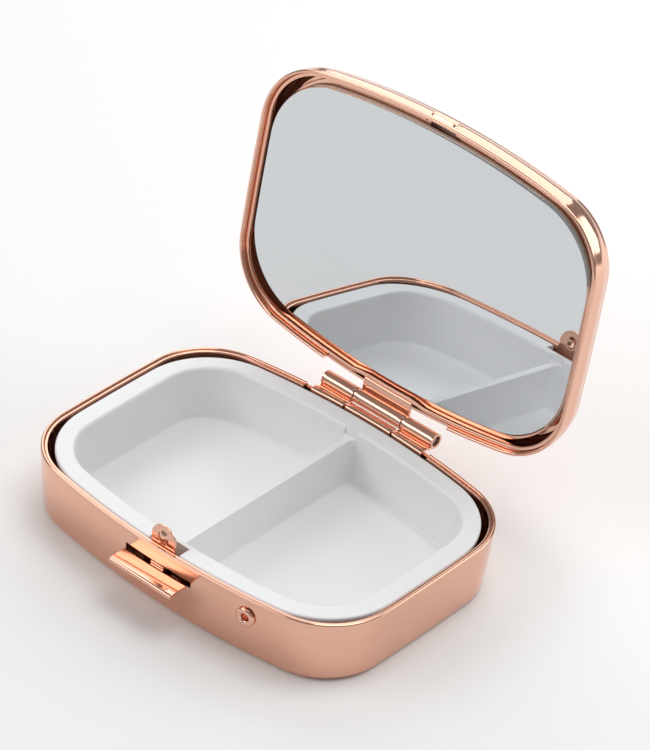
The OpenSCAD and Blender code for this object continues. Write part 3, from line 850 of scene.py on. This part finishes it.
dress(tongue, rose_gold, "latch", "rose_gold", "latch_tongue")

# ---------------------------------------------------------------------------
# Thumb-piece: a flat plate of the same sheet that passes out through the slot,
# its front edge rolled over, with a raised neck between the two openings.
# ---------------------------------------------------------------------------
THUMB_HALF_W, THUMB_FRONT, THUMB_TOP, THUMB_T = 6.6, -29.5, 8.4, 0.4
NECK_HALF_W, NECK_TOP = 1.4, 8.8

thumb_mid = THUMB_TOP - THUMB_T / 2
front_mid = THUMB_FRONT + THUMB_T / 2
path = sheet_path(
    [(TONGUE_Y - 0.05, thumb_mid), (front_mid, thumb_mid), (front_mid, thumb_mid - 0.5)], 0.28, 8
)
bm = bmesh.new()
strip(bm, path, -THUMB_HALF_W, THUMB_HALF_W, 2)
thumb = piece("thumb_plate_rolled", bm)
thicken(thumb, THUMB_T, 0.09)
dress(thumb, rose_gold, "latch", "rose_gold", "thumb_piece")

bm = block(
    (-NECK_HALF_W, -HALF_W + 0.15, THUMB_TOP - 0.1), (NECK_HALF_W, TONGUE_Y - 0.02, NECK_TOP)
)
bmesh.ops.bevel(
    bm,
    geom=bm.edges[:],
    offset=0.12,
    offset_type="OFFSET",
    segments=3,
    profile=0.5,
    affect="EDGES",
    material=-1,
)
neck = piece("thumb_neck", bm)
dress(neck, rose_gold, "latch", "rose_gold")

# ---------------------------------------------------------------------------
# Rivet: hollow brass, set from outside through the wall and the spring, its
# outer end rolled to a smooth ring round the open bore.
# ---------------------------------------------------------------------------
HEAD_R, HEAD_H, BORE_R, GRIP = 1.75, 0.62, 0.65, 1.18

profile = [(BORE_R, -GRIP - 0.3), (1.45, -GRIP - 0.3), (1.55, -GRIP - 0.2), (1.55, -GRIP)]
profile += [(1.1, -GRIP), (1.1, 0.03), (HEAD_R - 0.05, 0.03), (HEAD_R, 0.1)]
for a in spaced(0, math.pi, 16):
    centre = (HEAD_R + BORE_R) / 2
    half = (HEAD_R - BORE_R) / 2
    profile.append((centre + half * math.cos(a), 0.14 + (HEAD_H - 0.14) * math.sin(a) ** 0.8))
profile += [(BORE_R, 0.05), (BORE_R, -GRIP - 0.3)]
rivet = piece("latch_rivet_rolled", turned(profile, RIVET_AXIS))
dress(rivet, rose_gold, "base", "rose_gold", "latch_rivet")

# ---------------------------------------------------------------------------
# Studio: a plain pale floor, four soft area lights and an even white surround.
# ---------------------------------------------------------------------------
FLOOR_HALF, SURROUND_STRENGTH = 3000, 0.3

bm = bmesh.new()
bmesh.ops.create_grid(bm, x_segments=1, y_segments=1, size=FLOOR_HALF)
floor = piece("studio_floor", bm)
paper, tree, shader = material("paper_white_matt", Base_Color=linear("f8f8f8"), Roughness=0.9)
shader.inputs["Specular IOR Level"].default_value = 0.0
floor.data.materials.append(paper)

world = bpy.data.worlds.new("studio_surround")
bpy.context.scene.world = world
world.use_nodes = True
world.node_tree.nodes["Background"].inputs["Color"].default_value = (1, 1, 1, 1)
world.node_tree.nodes["Background"].inputs["Strength"].default_value = SURROUND_STRENGTH


def soft_light(name, place, target, width, height, power):
    """A rectangular area light that faces a point, all in metres and watts."""
    data = bpy.data.lights.new(name, "AREA")
    data.shape, data.size, data.size_y, data.energy = "RECTANGLE", width, height, power
    lamp = bpy.data.objects.new(name, data)
    lamp.location = place
    lamp.rotation_euler = (Vector(place) - Vector(target)).to_track_quat("Z", "Y").to_euler()
    lamp.visible_camera = False
    bpy.context.scene.collection.objects.link(lamp)


soft_light("soft_back_left", (-0.34, 0.47, 0.36), (0, 0.1, 0.0), 0.65, 0.55, 1.75)
soft_light("soft_back_right", (0.26, 0.36, 0.22), (0.05, 0.15, 0.0), 0.3, 0.3, 0.6)
soft_light("soft_front_left", (-0.36, -0.42, 0.40), (0, 0, 0.01), 0.6, 0.28, 1.35)
soft_light("soft_overhead", (0.08, 0.1, 0.5), (0, 0.04, 0.02), 0.3, 0.3, 0.9)

# Camera: three-quarter view from the right of the latch, a little rolled.
CAMERA_PLACE = (0.32541, -0.40357, 0.40933)
AZIMUTH, ELEVATION, ROLL, LENS = 0.6641, 0.6269, 0.1003, 226.0
ahead = Vector(
    (
        -math.sin(AZIMUTH) * math.cos(ELEVATION),
        math.cos(AZIMUTH) * math.cos(ELEVATION),
        -math.sin(ELEVATION),
    )
)
right = ahead.cross(Vector((0, 0, 1))).normalized()
up = right.cross(ahead)
rolled_right = right * math.cos(ROLL) + up * math.sin(ROLL)
rolled_up = up * math.cos(ROLL) - right * math.sin(ROLL)
camera_data = bpy.data.cameras.new("camera")
camera_data.sensor_fit, camera_data.sensor_width, camera_data.lens = "HORIZONTAL", 36.0, LENS
camera_data.clip_start, camera_data.clip_end = 0.01, 20.0
camera = bpy.data.objects.new("camera", camera_data)
turn = Matrix((rolled_right, rolled_up, -ahead)).transposed().to_4x4()
camera.matrix_world = Matrix.Translation(CAMERA_PLACE) @ turn
bpy.context.scene.collection.objects.link(camera)
bpy.context.scene.camera = camera
bpy.context.scene.view_settings.view_transform = "Standard"
